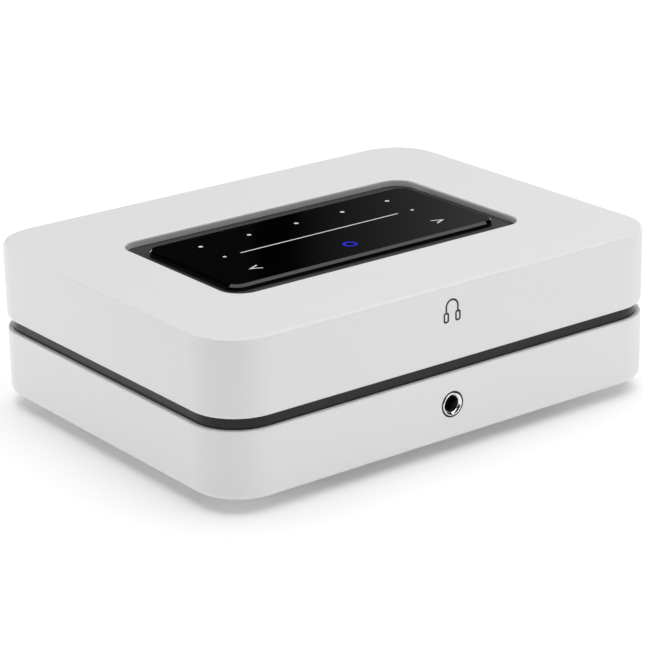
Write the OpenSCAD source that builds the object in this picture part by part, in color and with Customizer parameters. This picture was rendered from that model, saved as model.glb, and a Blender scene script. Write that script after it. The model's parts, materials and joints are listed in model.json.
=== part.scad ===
/* [Casing] */
// Width of the casing, side to side
case_w = 220; // [180:1:270]
// Depth of the casing, front to back
case_d = 170; // [140:1:210]
// Height of the casing without its base
case_h = 64; // [62:1:80]
// Height of the lower casing
lower_h = 28; // [27:0.5:32]
// Height of the dark seam between the two casings
seam_h = 4.6; // [3:0.1:6]
// How far the seam band stands back from the sides
seam_inset = 1.9; // [1:0.1:2.2]
// Radius of the casing's upright corners
corner_r = 21; // [16:0.5:26]
// Thickness of the side walls and the floor
wall = 2.6; // [2.4:0.1:3.4]
// Thickness of the top
top_t = 3; // [2.6:0.1:4]
// Rounding of the top edge
top_edge_r = 1; // [0.5:0.1:2]
// Rounding of the upper casing's lower edge
lip_r = 1.7; // [0.5:0.1:2.2]
// Rounding of the lower casing's upper edge
sill_r = 0.6; // [0.3:0.1:1]
// Rounding of the lower casing's bottom edge
bottom_edge_r = 3; // [1:0.1:4]

/* [Base] */
// Height of the base under the casing, with its pad
base_h = 6; // [5:0.5:10]
// How far the base stands back from the sides
plinth_inset = 18; // [16:1:24]
// Radius of the base's upright corners
plinth_r = 12; // [8:1:20]
// Thickness of the rubber pad
pad_t = 1.5; // [1:0.1:2.5]
// Margin of bare base around the pad
pad_margin = 2; // [1:0.5:5]

/* [Touch panel] */
// Width of the recess in the top
recess_w = 147; // [140:1:165]
// Depth of the recess, front to back
recess_d = 83.5; // [76:0.5:100]
// Corner radius of the recess
recess_r = 9.5; // [6:0.5:14]
// Rounding of the recess's rim
rim_r = 0.8; // [0.4:0.1:1.5]
// Width of the glass
glass_w = 134; // [120:1:138]
// Depth of the glass, front to back
glass_d = 62.8; // [58:0.2:72]
// Corner radius of the glass
glass_r = 6; // [3:0.5:10]
// Thickness of the glass
glass_t = 2.2; // [1.6:0.1:2.6]
// Bevel around the glass's upper edge
glass_bevel = 1; // [0.4:0.1:1.2]
// Thickness of the adhesive sheet under the glass
adhesive_t = 0.3; // [0.2:0.05:0.5]
// Thickness of the tray
tray_t = 2; // [1.6:0.1:3]
// Spacing of the five preset marks
preset_pitch = 24; // [20:0.5:26]
// Distance of the preset marks behind the panel's middle
preset_y = 18.4; // [16:0.2:22]
// Radius of a preset mark
preset_r = 1; // [0.6:0.1:1.5]
// Length of the volume slider's line
slider_l = 80.6; // [70:0.2:84]
// Width of the volume slider's line
slider_w = 0.8; // [0.5:0.1:1.5]
// Distance of the skip arrows in front of the panel's middle
skip_y = 18; // [15:0.5:20]
// Outer radius of the status ring
ring_r = 3.1; // [2.4:0.1:5]
// Width of the status ring's line
ring_line = 1.1; // [0.6:0.1:1.6]

/* [Headphone socket] */
// Radius of the plug's way in
jack_bore_r = 3.25; // [3.2:0.05:3.4]
// Height of the socket's axis above the casing's underside
jack_up = 15; // [14:0.5:18]
// Outer radius of the bright bezel
bezel_r = 4.7; // [4.6:0.1:7]
// Width of the dark gasket around the bezel
gasket_w = 0.75; // [0.3:0.05:1]

/* [Speaker terminals] */
// Spacing of the terminals
terminal_pitch = 20; // [19:0.5:24]
// Radius of a terminal knob
knob_r = 6.5; // [5.5:0.1:8]
// Length of a terminal knob
knob_l = 16; // [14:0.5:20]
// Radius of the hole for a banana plug
banana_r = 2.05; // [2:0.01:2.2]
// Radius of a terminal stud
stud_r = 3; // [2.9:0.1:3.6]
// Radial clearance between the stud and its knob
thread_gap = 0.06; // [0.03:0.01:0.1]

/* [Hidden] */
$fn = 64;
eps = 0.5;

// heights
z_sill = base_h + lower_h;
z_lip = z_sill + seam_h;
z_top = base_h + case_h;
z_ceil = z_top - top_t;
z_floor = base_h + wall;
z_join = (z_sill + z_lip) / 2;
x_in = case_w / 2 - wall;
y_in = case_d / 2 - wall;
fit_gap = 0.1;

// casing screws and their posts
post_r = 4.5;
post_x = case_w / 2 - 10;
post_y = case_d / 2 - 30;
screw_r = 1.5;
screw_hole_r = 1.7;
screw_head_r = 2.8;
screw_head_h = 2;
head_hole_r = 3.1;
head_hole_d = 2.4;
screw_bite = 12;

// seam band
band_t = 2;
band_tongue = 3;

// underside slots
slot_w = 2.5;
slot_l = 8;
slot_pitch = 8;
slot_count = 15;
slot_y = case_d / 2 - 10;
peg_r = 2.5;
peg_x = case_w / 2 - plinth_inset - 12;
peg_y = case_d / 2 - plinth_inset - 12;

// touch panel
tray_lip = 5;
tray_post_l = 3;
z_glass = z_ceil + adhesive_t;
z_glass_top = z_glass + glass_t;
z_board_hi = z_ceil - tray_t - tray_post_l;
mark_deep = 0.4;
end_dot_x = 2 * preset_pitch;
slider_y = 1.5;
end_dot_r = 0.8;
skip_x = 49.8;
skip_l = 5.4;
skip_line = 0.8;
skip_angle = 25;
skip_rise = 0.6;
guide_t = 1.2;
pin_r = 0.9;
pin_gap = 0.2;
touch_board_w = 124;
touch_board_d = 54;
tray_post_x = touch_board_w / 2 - 4;
tray_post_y = touch_board_d / 2 - 4;
small_screw_r = 1;

// front symbol: a headband with two ear cups
symbol_up = 53.8;
symbol_w = 8.6;
symbol_h = 9.6;
symbol_line = 0.85;
symbol_deep = 0.4;
cup_w = 2.8;
cup_h = 4.4;
cup_r = 1.1;

// headphone socket
jack_x = -2.4;
jack_z = base_h + jack_up;
gasket_r = bezel_r + gasket_w;
bezel_proud = 0.3;
bezel_t = 1.5;
bezel_dish = 0.8;
bush_r = 4.4;
bush_l = 3.5;
bezel_bore_r = jack_bore_r + 0.1;
jack_w = 15;
jack_h = 14;
jack_l = 30;
jack_wall = 3;
jack_board_w = 26;
jack_board_l = 36;
jack_screw_l = jack_z - jack_h / 2 - z_floor - 0.4;

// boards
board_t = 1.6;
board_top = z_floor + 11;
rear_w = case_w - 2 * corner_r - 12;
board_over = 11.5;
board_rear = y_in - 3;
main_w = 96;
main_d = 92;
main_x = rear_w / 2 + board_over - main_w / 2;
main_y = board_rear - main_d / 2;
power_w = 50;
power_d = 100;
power_x = -rear_w / 2 - board_over + power_w / 2;
power_y = board_rear - power_d / 2;
amp_w = 84;
amp_d = 48;
amp_x = main_x + (main_w - amp_w) / 2 - 4;
amp_set_back = 7;
amp_y = board_rear - amp_set_back - amp_d / 2;
amp_top = board_top + 18;
standoff_r = 2.4;
main_hole_x = main_w / 2 - 5;
main_hole_y = main_d / 2 - 24;
power_hole_x = power_w / 2 - 5;
power_hole_y = power_d / 2 - 5;
amp_hole_x = amp_w / 2 - 5;
amp_hole_y = amp_d / 2 - 5;

// ribbon between the touch board and the main board
ribbon_w = 16;
ribbon_t = 0.3;
ribbon_x = main_x - 20;
ribbon_y = main_y - main_d / 2 + 14.6;
ribbon_bend = 6;

// rear panel
rear_z0 = base_h + 7;
rear_z1 = z_top - 7;
rear_r = 4;
rear_lip = 3.5;
rear_t = 2;
y_panel = y_in - rear_t;
proud = 0.5;
hole_gap = 0.3;
vent_w = 2.4;
vent_pitch = 6;
vent_h = 16;

// terminals
terminal_x0 = rear_w / 2 - 13;
terminal_z = rear_z1 - 13;
collar_r = knob_r;
collar_l = 3;
collar_neck_r = 4.6;
washer_t = 0.8;
washer_r = 5.2;
y_collar = y_in + collar_l;
y_knob = y_collar + washer_t;
stud_tail = 12;
stud_short = 1;
banana_l = knob_l - 4;
wire_hole_r = 1.25;
nut_t = 2.4;
nut_r = 5;
TERMINALS = [0, 1, 2, 3];
RED = [0, 2];
BLACK = [1, 3];

// lower row of sockets, counted in from the panel's edge
lan_x = rear_w / 2 - 13;
lan_w = 16;
lan_h = 13.5;
lan_l = 21;
av_x = lan_x - 19.5;
av_w = 15;
av_h = 6;
av_l = 12;
usb_x = av_x - 17;
usb_w = 13.2;
usb_h = 5.8;
usb_l = 14;
line_x = usb_x - 14;
line_bore_r = 1.8;
line_body = 8;
line_l = 14;
sub_x = line_x - 15;
sub_r = 4.15;
sub_l = 8;
sub_body_w = 12;
sub_body_l = 10;
sub_z = board_top + 7;
inlet_x = -rear_w / 2 + 18;
inlet_w = 23;
inlet_h = 12;
inlet_l = 18;
inlet_pin_r = 1.2;
inlet_pin_x = 4.3;
inlet_cup_r = 4.1;
inlet_deep = 11;
inlet_z = board_top + inlet_h / 2;

white = "whitesmoke";
dark = [0.07, 0.07, 0.08];
board_green = [0.08, 0.3, 0.16];

// ---- shared shapes ----

module rounded_square(w, d, r) {
  square([w - 2 * r, d], center = true);
  square([w, d - 2 * r], center = true);
  for (sx = [-1, 1], sy = [-1, 1])
    translate([sx * (w / 2 - r), sy * (d / 2 - r)]) circle(r);
}

module plain_block(w, d, r, z0, z1) {
  translate([0, 0, z0]) linear_extrude(z1 - z0) rounded_square(w, d, r);
}

// A block whose side outline is swept round a rounded rectangle. The child is that
// outline, measured outwards from the corners' centres.
module swept_block(w, d, r, z0, z1) {
  cx = w / 2 - r;
  cy = d / 2 - r;
  rotate([90, 0, 90]) linear_extrude(2 * cx, center = true) {
    for (s = [0, 1]) mirror([s, 0]) translate([cy, 0]) children();
    translate([-cy, z0]) square([2 * cy, z1 - z0]);
  }
  for (s = [0, 1]) mirror([s, 0, 0])
    translate([cx, 0, 0]) rotate([90, 0, 0])
      linear_extrude(2 * cy, center = true) children();
  for (a = [0, 1], b = [0, 1]) mirror([a, 0, 0]) mirror([0, b, 0])
    translate([cx, cy, 0]) rotate_extrude(angle = 90) children();
}

module corner_waste(r) {
  difference() {
    square(r + eps);
    circle(r);
  }
}

module side_outline(r, z0, z1, low_r, high_r) {
  difference() {
    translate([0, z0]) square([r, z1 - z0]);
    translate([r - high_r, z1 - high_r]) corner_waste(high_r);
    translate([r - low_r, z0 + low_r]) mirror([0, 1]) corner_waste(low_r);
  }
}

module at_posts() {
  for (sx = [-1, 1], sy = [-1, 1])
    translate([sx * post_x, sy * post_y, 0]) children();
}

module grid_of_four(x, y, dx, dy) {
  for (sx = [-1, 1], sy = [-1, 1])
    translate([x + sx * dx, y + sy * dy, 0]) children();
}

module box_at(x, y, z, w, d, h) {
  translate([x - w / 2, y - d / 2, z]) cube([w, d, h]);
}

// A round bar along +Y from y0
module bar_y(x, y0, z, r, l) {
  translate([x, y0, z]) rotate([-90, 0, 0]) cylinder(r = r, h = l);
}

module rear_opening() {
  mid = (rear_z0 + rear_z1) / 2;
  translate([0, case_d / 2 + eps, mid]) rotate([90, 0, 0])
    linear_extrude(wall + band_t + 4) rounded_square(rear_w, rear_z1 - rear_z0, rear_r);
}

// ---- casing ----

module recess_outline() {
  translate([0, z_ceil - eps]) square([recess_r, top_t + 2 * eps]);
  difference() {
    translate([recess_r - eps, z_top - rim_r]) square([rim_r + eps, rim_r + eps]);
    translate([recess_r + rim_r, z_top - rim_r]) circle(rim_r);
  }
}

module tray_screw_places() {
  grid_of_four(0, 0, recess_w / 2 - 12, recess_d / 2 + tray_lip / 2) children();
}

module upper_casing() {
  color(white) difference() {
    union() {
      difference() {
        swept_block(case_w, case_d, corner_r, z_lip, z_top)
          side_outline(corner_r, z_lip, z_top, lip_r, top_edge_r);
        plain_block(2 * x_in, 2 * y_in, corner_r - wall, z_lip - eps, z_ceil);
      }
      at_posts() translate([0, 0, z_join]) cylinder(r = post_r, h = z_ceil + eps - z_join);
    }
    swept_block(recess_w, recess_d, recess_r, z_ceil - eps, z_top + eps) recess_outline();
    at_posts() translate([0, 0, z_join - eps])
      cylinder(r = screw_r + 0.02, h = screw_bite + 2);
    tray_screw_places() translate([0, 0, z_ceil - eps])
      cylinder(r = small_screw_r + 0.02, h = 2 + eps);
    rear_opening();
    front_cut(symbol_deep) symbol_outline();
  }
}

module lower_casing() {
  color(white) difference() {
    union() {
      difference() {
        swept_block(case_w, case_d, corner_r, base_h, z_sill)
          side_outline(corner_r, base_h, z_sill, bottom_edge_r, sill_r);
        plain_block(2 * x_in, 2 * y_in, corner_r - wall, z_floor, z_sill + eps);
      }
      at_posts() translate([0, 0, z_floor - eps]) cylinder(r = post_r, h = z_join - z_floor + eps);
    }
    at_posts() translate([0, 0, base_h - eps]) {
      cylinder(r = screw_hole_r, h = z_join);
      cylinder(r = head_hole_r, h = head_hole_d + eps);
    }
    rear_opening();
    bar_y(jack_x, -case_d / 2 - eps, jack_z, gasket_r, wall + 2 * eps);
    grid_of_four(0, 0, peg_x, peg_y) translate([0, 0, base_h - eps])
      cylinder(r = peg_r + 0.05, h = wall + 2 * eps);
    for (s = [-1, 1], i = [0 : slot_count - 1])
      translate([(i - (slot_count - 1) / 2) * slot_pitch, s * slot_y, base_h - eps])
        linear_extrude(wall + 2 * eps) rounded_square(slot_w, slot_l, slot_w / 2 - 0.05);
  }
}

module seam_band() {
  outer = 2 * seam_inset;
  tongue = 2 * (wall + fit_gap);
  bore = 2 * (wall + fit_gap + band_t);
  cut_w = rear_w + 2 * rear_lip + 0.6;
  color(dark) difference() {
    union() {
      plain_block(case_w - outer, case_d - outer, corner_r - seam_inset, z_sill, z_lip);
      plain_block(case_w - tongue, case_d - tongue, corner_r - tongue / 2,
        z_sill - band_tongue, z_lip + band_tongue);
    }
    plain_block(case_w - bore, case_d - bore, corner_r - bore / 2,
      z_sill - band_tongue - eps, z_lip + band_tongue + eps);
    translate([-cut_w / 2, 0, z_sill - band_tongue - eps])
      cube([cut_w, case_d, seam_h + 2 * band_tongue + 2 * eps]);
  }
}

module base_plinth() {
  color(dark) {
    plain_block(case_w - 2 * plinth_inset, case_d - 2 * plinth_inset, plinth_r, pad_t, base_h);
    grid_of_four(0, 0, peg_x, peg_y) translate([0, 0, base_h - eps])
      cylinder(r = peg_r, h = wall + eps);
  }
}

module base_pad() {
  inset = 2 * (plinth_inset + pad_margin);
  color([0.12, 0.12, 0.12])
    plain_block(case_w - inset, case_d - inset, plinth_r - pad_margin, 0, pad_t);
}

// ---- touch panel ----

module panel_tray() {
  color(dark) difference() {
    union() {
      plain_block(recess_w + 2 * tray_lip, recess_d + 2 * tray_lip, recess_r + tray_lip,
        z_ceil - tray_t, z_ceil);
      grid_of_four(0, 0, tray_post_x, tray_post_y) translate([0, 0, z_board_hi])
        cylinder(r = 2.2, h = tray_post_l + eps);
    }
    light_places() translate([0, 0, z_ceil - tray_t - eps])
      cylinder(r = pin_r + pin_gap, h = tray_t + 2 * eps);
    tray_screw_places() translate([0, 0, z_ceil - tray_t - eps])
      cylinder(r = small_screw_r + 0.15, h = tray_t + 2 * eps);
    grid_of_four(0, 0, tray_post_x, tray_post_y) translate([0, 0, z_board_hi - eps])
      cylinder(r = small_screw_r + 0.02, h = tray_post_l + eps);
  }
}

module glass_adhesive() {
  inset = 2 * glass_bevel;
  color([0.1, 0.1, 0.11])
    plain_block(glass_w - inset, glass_d - inset, glass_r - glass_bevel, z_ceil, z_glass);
}

module touch_glass() {
  z1 = z_glass_top;
  b = glass_bevel;
  color([0.02, 0.02, 0.03]) difference() {
    swept_block(glass_w, glass_d, glass_r, z_glass, z1)
      polygon([[0, z_glass], [glass_r, z_glass], [glass_r, z1 - b], [glass_r - b, z1], [0, z1]]);
    mark_solid(eps) {
      preset_outline();
      volume_outline();
      skip_outline();
      ring_outline();
    }
  }
}

module mark_solid(over = 0) {
  translate([0, 0, z_glass_top - mark_deep]) linear_extrude(mark_deep + over) children();
}

module preset_outline() {
  for (i = [-2 : 2]) translate([i * preset_pitch, preset_y]) circle(preset_r);
}

module volume_outline() {
  for (s = [-1, 1]) translate([s * end_dot_x, slider_y]) circle(end_dot_r);
  translate([0, slider_y]) square([slider_l, slider_w], center = true);
}

// Two chevrons that point outwards
module skip_outline() {
  high = skip_l * tan(skip_angle);
  inner = high - skip_line / cos(skip_angle);
  for (s = [0, 1]) mirror([s, 0]) translate([skip_x, skip_rise - skip_y])
    polygon([[0, 0], [-skip_l, high], [-skip_l, inner], [-skip_line / sin(skip_angle), 0],
      [-skip_l, -inner], [-skip_l, -high]]);
}

module ring_outline() {
  translate([0, -skip_y]) difference() {
    circle(ring_r);
    circle(ring_r - ring_line);
  }
}

module preset_marks() {
  color("gainsboro") mark_solid() preset_outline();
}

module volume_marks() {
  color("gainsboro") mark_solid() volume_outline();
}

module skip_marks() {
  color("gainsboro") mark_solid() skip_outline();
}

module status_ring() {
  color("blue") mark_solid() ring_outline();
}

module light_places() {
  for (i = [-2 : 2]) translate([i * preset_pitch, preset_y, 0]) children();
  for (s = [-1, 1]) translate([s * end_dot_x, slider_y, 0]) children();
  for (s = [-1, 1]) translate([s * (skip_x - skip_l / 2), skip_rise - skip_y, 0]) children();
  translate([0, -skip_y, 0]) children();
}

module light_guide() {
  color([0.85, 0.88, 0.9]) {
    plain_block(2 * end_dot_x + 8, preset_y + skip_y + 6, 3, z_board_hi, z_board_hi + guide_t);
    light_places() translate([0, 0, z_board_hi]) cylinder(r = pin_r, h = z_ceil - z_board_hi);
  }
}

module touch_board() {
  color(board_green) difference() {
    union() {
      plain_block(touch_board_w, touch_board_d, 2, z_board_hi - board_t, z_board_hi);
      box_at(ribbon_x, ribbon_y, z_board_hi - board_t - 2, ribbon_w + 4, 5, 2 + eps);
    }
    grid_of_four(0, 0, tray_post_x, tray_post_y) translate([0, 0, z_board_hi - board_t - eps])
      cylinder(r = small_screw_r + 0.15, h = board_t + 2 * eps);
  }
}

// ---- front ----

module front_cut(deep, over = 0.5) {
  translate([jack_x, -case_d / 2 + deep, base_h + symbol_up]) rotate([90, 0, 0])
    linear_extrude(deep + over) children();
}

module symbol_outline() {
  band_x = symbol_w / 2 - cup_w / 2;
  band_r = band_x + symbol_line / 2;
  band_y = symbol_h / 2 - band_r;
  cup_y = (cup_h - symbol_h) / 2;
  translate([0, band_y]) difference() {
    circle(band_r);
    circle(band_r - symbol_line);
    translate([-band_r - 1, -2 * band_r]) square([2 * band_r + 2, 2 * band_r]);
  }
  for (s = [-1, 1]) translate([s * band_x, 0]) {
    translate([-symbol_line / 2, cup_y + cup_h / 2 - symbol_line / 2])
      square([symbol_line, band_y - cup_y - cup_h / 2 + symbol_line / 2 + eps]);
    translate([0, cup_y]) difference() {
      rounded_square(cup_w, cup_h, cup_r);
      rounded_square(cup_w - 2 * symbol_line, cup_h - 2 * symbol_line, cup_r - symbol_line);
    }
  }
}

module front_symbol() {
  color(dark) front_cut(symbol_deep, 0) symbol_outline();
}

// A dished ring: its round outer edge stands proud and its face falls towards the bore
module jack_bezel() {
  edge = 0.4;
  dish_r = bezel_r - 2 * edge;
  color("silver") translate([jack_x, -case_d / 2 - bezel_proud, jack_z]) rotate([-90, 0, 0])
    rotate_extrude() {
      translate([bezel_r - edge, edge]) circle(edge);
      polygon([[bezel_bore_r, bezel_dish], [bezel_bore_r + 0.2, bezel_dish], [dish_r, edge],
        [bezel_r, edge], [bezel_r, bezel_proud + bezel_t], [bezel_bore_r, bezel_proud + bezel_t]]);
      translate([bezel_bore_r, bezel_dish])
        square([bush_r - bezel_bore_r, bezel_proud + wall + bush_l - bezel_dish]);
    }
}

module jack_gasket() {
  color([0.15, 0.15, 0.15]) translate([jack_x, -case_d / 2, jack_z]) rotate([-90, 0, 0])
    rotate_extrude() {
      translate([bezel_r + 0.05, 0]) square([gasket_w - 0.1, wall]);
      translate([bush_r + 0.05, bezel_t + 0.05])
        square([gasket_r - bush_r - 0.1, wall - bezel_t - 0.05]);
    }
}

module headphone_jack() {
  y0 = -y_in;
  color(dark) difference() {
    translate([jack_x - jack_w / 2, y0, jack_z - jack_h / 2]) cube([jack_w, jack_l, jack_h]);
    bar_y(jack_x, y0 - eps, jack_z, jack_bore_r, jack_l - jack_wall + eps);
    bar_y(jack_x, y0 - eps, jack_z, bush_r + 0.05, bush_l + 0.1 + eps);
  }
}

module headphone_board() {
  y0 = -y_in + 1;
  z1 = jack_z - jack_h / 2;
  color(board_green) difference() {
    box_at(jack_x, y0 + jack_board_l / 2, z1 - board_t, jack_board_w, jack_board_l, board_t);
    jack_board_holes() translate([0, 0, z1 - board_t - eps])
      cylinder(r = small_screw_r + 0.15, h = board_t + 2 * eps);
  }
}

module jack_board_holes() {
  for (s = [-1, 1])
    translate([jack_x + s * (jack_board_w / 2 - 2.8), -y_in + jack_board_l - 4, 0]) children();
}

// ---- rear panel and its sockets ----

module terminal_at(i) {
  translate([terminal_x0 - i * terminal_pitch, 0, terminal_z]) children();
}

module rear_panel() {
  mid = (rear_z0 + rear_z1) / 2;
  vent_x1 = terminal_x0 - 3 * terminal_pitch - collar_r - 6;
  vent_x0 = -rear_w / 2 + 8;
  vents = floor((vent_x1 - vent_x0) / vent_pitch);
  color(dark) difference() {
    translate([0, y_in, mid]) rotate([90, 0, 0]) linear_extrude(rear_t)
      rounded_square(rear_w + 2 * rear_lip, rear_z1 - rear_z0 + 2 * rear_lip, rear_r + rear_lip);
    for (i = TERMINALS) terminal_at(i)
      bar_y(0, y_panel - eps, 0, collar_neck_r + fit_gap, rear_t + 2 * eps);
    panel_hole(lan_x, lan_w, board_top, lan_h);
    panel_hole(av_x, av_w, board_top, av_h);
    panel_hole(usb_x, usb_w, board_top, usb_h);
    panel_hole(inlet_x, inlet_w, board_top, inlet_h);
    bar_y(line_x, y_panel - eps, board_top + line_body / 2, 3 + hole_gap, rear_t + 2 * eps);
    bar_y(sub_x, y_panel - eps, sub_z, 5 + hole_gap, rear_t + 2 * eps);
    for (i = [0 : vents]) translate([vent_x0 + i * vent_pitch, y_panel - eps, terminal_z])
      rotate([-90, 0, 0]) linear_extrude(rear_t + 2 * eps)
        rounded_square(vent_w, vent_h, vent_w / 2 - 0.05);
  }
}

module panel_hole(x, w, z, h) {
  translate([x - w / 2 - hole_gap, y_panel - eps, z - hole_gap])
    cube([w + 2 * hole_gap, rear_t + 2 * eps, h + 2 * hole_gap]);
}

module terminal_studs() {
  y0 = y_panel - stud_tail;
  y1 = y_knob + knob_l - stud_short;
  color("gold") for (i = TERMINALS) terminal_at(i) difference() {
    bar_y(0, y0, 0, stud_r, y1 - y0);
    bar_y(0, y1 - banana_l, 0, banana_r, banana_l + eps);
    translate([0, y_knob + 1.2, -stud_r - eps]) cylinder(r = wire_hole_r, h = 2 * stud_r + 2 * eps);
  }
}

module terminal_nuts() {
  color("silver") for (i = TERMINALS) terminal_at(i)
    translate([0, y_panel - nut_t - 0.8, 0]) rotate([-90, 0, 0]) difference() {
      cylinder(r = nut_r, h = nut_t, $fn = 6);
      translate([0, 0, -eps]) cylinder(r = stud_r + 0.02, h = nut_t + 2 * eps);
    }
}

// A shouldered bush through the panel, with a thin inner flange
module collar(i) {
  terminal_at(i) difference() {
    union() {
      bar_y(0, y_in, 0, collar_r, collar_l);
      bar_y(0, y_panel, 0, collar_neck_r, rear_t + eps);
      bar_y(0, y_panel - 0.8, 0, collar_r, 0.8);
    }
    bar_y(0, y_panel - 0.8 - eps, 0, stud_r + 0.02, rear_t + collar_l + 0.8 + 2 * eps);
  }
}

module red_collars() {
  color("firebrick") for (i = RED) collar(i);
}

module black_collars() {
  color(dark) for (i = BLACK) collar(i);
}

module knob(i, shade) {
  flutes = 18;
  flute_r = 0.55;
  head_l = 3;
  color(shade) terminal_at(i) translate([0, y_knob, 0]) rotate([-90, 0, 0]) difference() {
    rotate_extrude() difference() {
      union() {
        translate([stud_r + thread_gap, 0]) square([knob_r - stud_r - thread_gap - 0.7, knob_l]);
        translate([stud_r + thread_gap, head_l]) square([knob_r - stud_r - thread_gap, knob_l - head_l]);
      }
      translate([knob_r - 1, knob_l - 1]) corner_waste(1);
    }
    for (a = [0 : flutes - 1]) rotate(a * 360 / flutes) translate([knob_r + 0.1, 0, head_l + 1])
      cylinder(r = flute_r, h = knob_l);
  }
}

module washer(i) {
  color("silver") terminal_at(i) translate([0, y_collar, 0]) rotate([-90, 0, 0]) difference() {
    cylinder(r = washer_r, h = washer_t);
    translate([0, 0, -eps]) cylinder(r = stud_r + thread_gap, h = washer_t + 2 * eps);
  }
}

module left_plus_knob() { knob(0, "firebrick"); }
module left_minus_knob() { knob(1, [0.1, 0.1, 0.1]); }
module right_plus_knob() { knob(2, "firebrick"); }
module right_minus_knob() { knob(3, [0.1, 0.1, 0.1]); }
module left_plus_washer() { washer(0); }
module left_minus_washer() { washer(1); }
module right_plus_washer() { washer(2); }
module right_minus_washer() { washer(3); }

// An open-fronted socket shell that stands on the main board
module socket_shell(x, w, h, l, cave_w, cave_z, cave_h, deep) {
  y1 = y_in + proud;
  difference() {
    translate([x - w / 2, y1 - l, board_top]) cube([w, l, h]);
    translate([x - cave_w / 2, y1 - deep, board_top + cave_z]) cube([cave_w, deep + eps, cave_h]);
  }
}

module network_shell() {
  color("silver") socket_shell(lan_x, lan_w, lan_h, lan_l, lan_w - 3, 2, lan_h - 4, lan_l - 4);
}

module video_shell() {
  color("silver") socket_shell(av_x, av_w, av_h, av_l, av_w - 0.8, 0.4, av_h - 0.8, av_l - 2);
}

module usb_shell() {
  color("silver") socket_shell(usb_x, usb_w, usb_h, usb_l, usb_w - 0.8, 0.4, usb_h - 0.8, usb_l - 2);
}

module socket_inserts() {
  y1 = y_in + proud;
  color([0.2, 0.2, 0.22]) {
    box_at(av_x, y1 - av_l + 2 + 4, board_top + av_h / 2 - 1, av_w - 4, 8, 2);
    box_at(usb_x, y1 - usb_l + 2 + 5, board_top + usb_h - 0.4 - 2, usb_w - 3, 10, 1.6);
    box_at(lan_x, y1 - lan_l + 4 + 1.5, board_top + 3, lan_w - 4, 3, lan_h - 6);
    for (i = [0 : 7])
      box_at(lan_x + (i - 3.5) * 1.1, y1 - lan_l + 4 + 6, board_top + 4 + 3, 0.5, 6.2, 0.6);
  }
}

module subwoofer_barrel() {
  flange = 1.2;
  color("silver") translate([sub_x, y_in, sub_z]) rotate([-90, 0, 0]) rotate_extrude() {
    translate([3.3, -rear_t]) square([1.6, rear_t]);
    translate([3.3, 0]) square([2.6, flange]);
    translate([3.3, 0]) square([sub_r - 3.3, sub_l]);
  }
}

module subwoofer_insulator() {
  y0 = y_panel - sub_body_l;
  color("ivory") difference() {
    union() {
      translate([sub_x - sub_body_w / 2, y0, board_top]) cube([sub_body_w, sub_body_l, 14]);
      bar_y(sub_x, y_panel - eps, sub_z, 3.28, rear_t + sub_l - 1 + eps);
    }
    bar_y(sub_x, y_in, sub_z, 1.65, sub_l + eps);
  }
}

module line_jack() {
  z = board_top + line_body / 2;
  color(dark) difference() {
    union() {
      translate([line_x - line_body / 2, y_panel - line_l, board_top]) cube([line_body, line_l, line_body]);
      bar_y(line_x, y_panel - eps, z, 3, rear_t + proud + eps);
    }
    bar_y(line_x, y_in + proud - 14, z, line_bore_r, 14 + eps);
  }
}

// Two round wells side by side, as the twin-pin lead's plug is shaped
module inlet_well() {
  for (s = [-1, 1]) translate([s * inlet_pin_x, 0]) circle(inlet_cup_r);
  square([2 * inlet_pin_x, 2 * inlet_cup_r], center = true);
}

module mains_inlet() {
  y1 = y_in + proud;
  color(dark) difference() {
    translate([inlet_x - inlet_w / 2, y1 - inlet_l, board_top]) cube([inlet_w, inlet_l, inlet_h]);
    translate([inlet_x, y1 + eps, inlet_z]) rotate([90, 0, 0])
      linear_extrude(inlet_deep + eps) inlet_well();
  }
}

module mains_pins() {
  color("silver") for (s = [-1, 1])
    bar_y(inlet_x + s * inlet_pin_x, y_in + proud - inlet_deep, inlet_z, inlet_pin_r, inlet_deep - 2);
}

// ---- boards and what they carry ----

module board(x, y, w, d, top, hole_x, hole_y) {
  difference() {
    box_at(x, y, top - board_t, w, d, board_t);
    grid_of_four(x, y, hole_x, hole_y)
      translate([0, 0, top - board_t - eps]) cylinder(r = 1.3, h = board_t + 2 * eps);
  }
}

module main_board() {
  color(board_green) {
    board(main_x, main_y, main_w, main_d, board_top, main_hole_x, main_hole_y);
    box_at(ribbon_x, ribbon_y - ribbon_bend - 10, board_top - 0.2, ribbon_w + 4, 6, 2.7);
    for (i = [0 : 5]) box_at(main_x + 6 + i * 6, main_y - 34, board_top - 0.2, 3, 5, 2.4);
  }
}

module processor_shield() {
  color("silver") box_at(main_x + 19, main_y - 12, board_top, 30, 26, 3);
}

module wireless_module() {
  color("lightgray") box_at(main_x - 20, main_y + 6, board_top, 18, 24, 2.8);
}

module amplifier_board() {
  color(board_green) board(amp_x, amp_y, amp_w, amp_d, amp_top, amp_hole_x, amp_hole_y);
}

module heatsink() {
  fins = 9;
  sink_w = 46;
  sink_d = 16;
  pitch = (sink_w - 1.4) / (fins - 1);
  color("darkgray") translate([amp_x - sink_w / 2, amp_y - amp_d / 2 + 2, amp_top]) {
    cube([sink_w, sink_d, 3]);
    for (i = [0 : fins - 1]) translate([i * pitch, 0, 2]) cube([1.4, sink_d, 15]);
  }
}

module output_inductors() {
  color("dimgray") for (i = TERMINALS) translate([amp_x + (i - 1.5) * 15, amp_y + 6, amp_top]) {
    cylinder(r = 5.6, h = 8);
    translate([0, 0, 7.5]) cylinder(r = 4.2, h = 1.5);
  }
}

module output_capacitors() {
  color("black") for (s = [-1, 1], k = [0, 1])
    translate([amp_x + s * 30, amp_y - 16 + k * 11, amp_top]) {
      cylinder(r = 4.5, h = 15);
      translate([0, 0, 14.5]) cylinder(r = 3.8, h = 1);
    }
}

module power_board() {
  color([0.45, 0.33, 0.12]) board(power_x, power_y, power_w, power_d, board_top, power_hole_x, power_hole_y);
}

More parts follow.
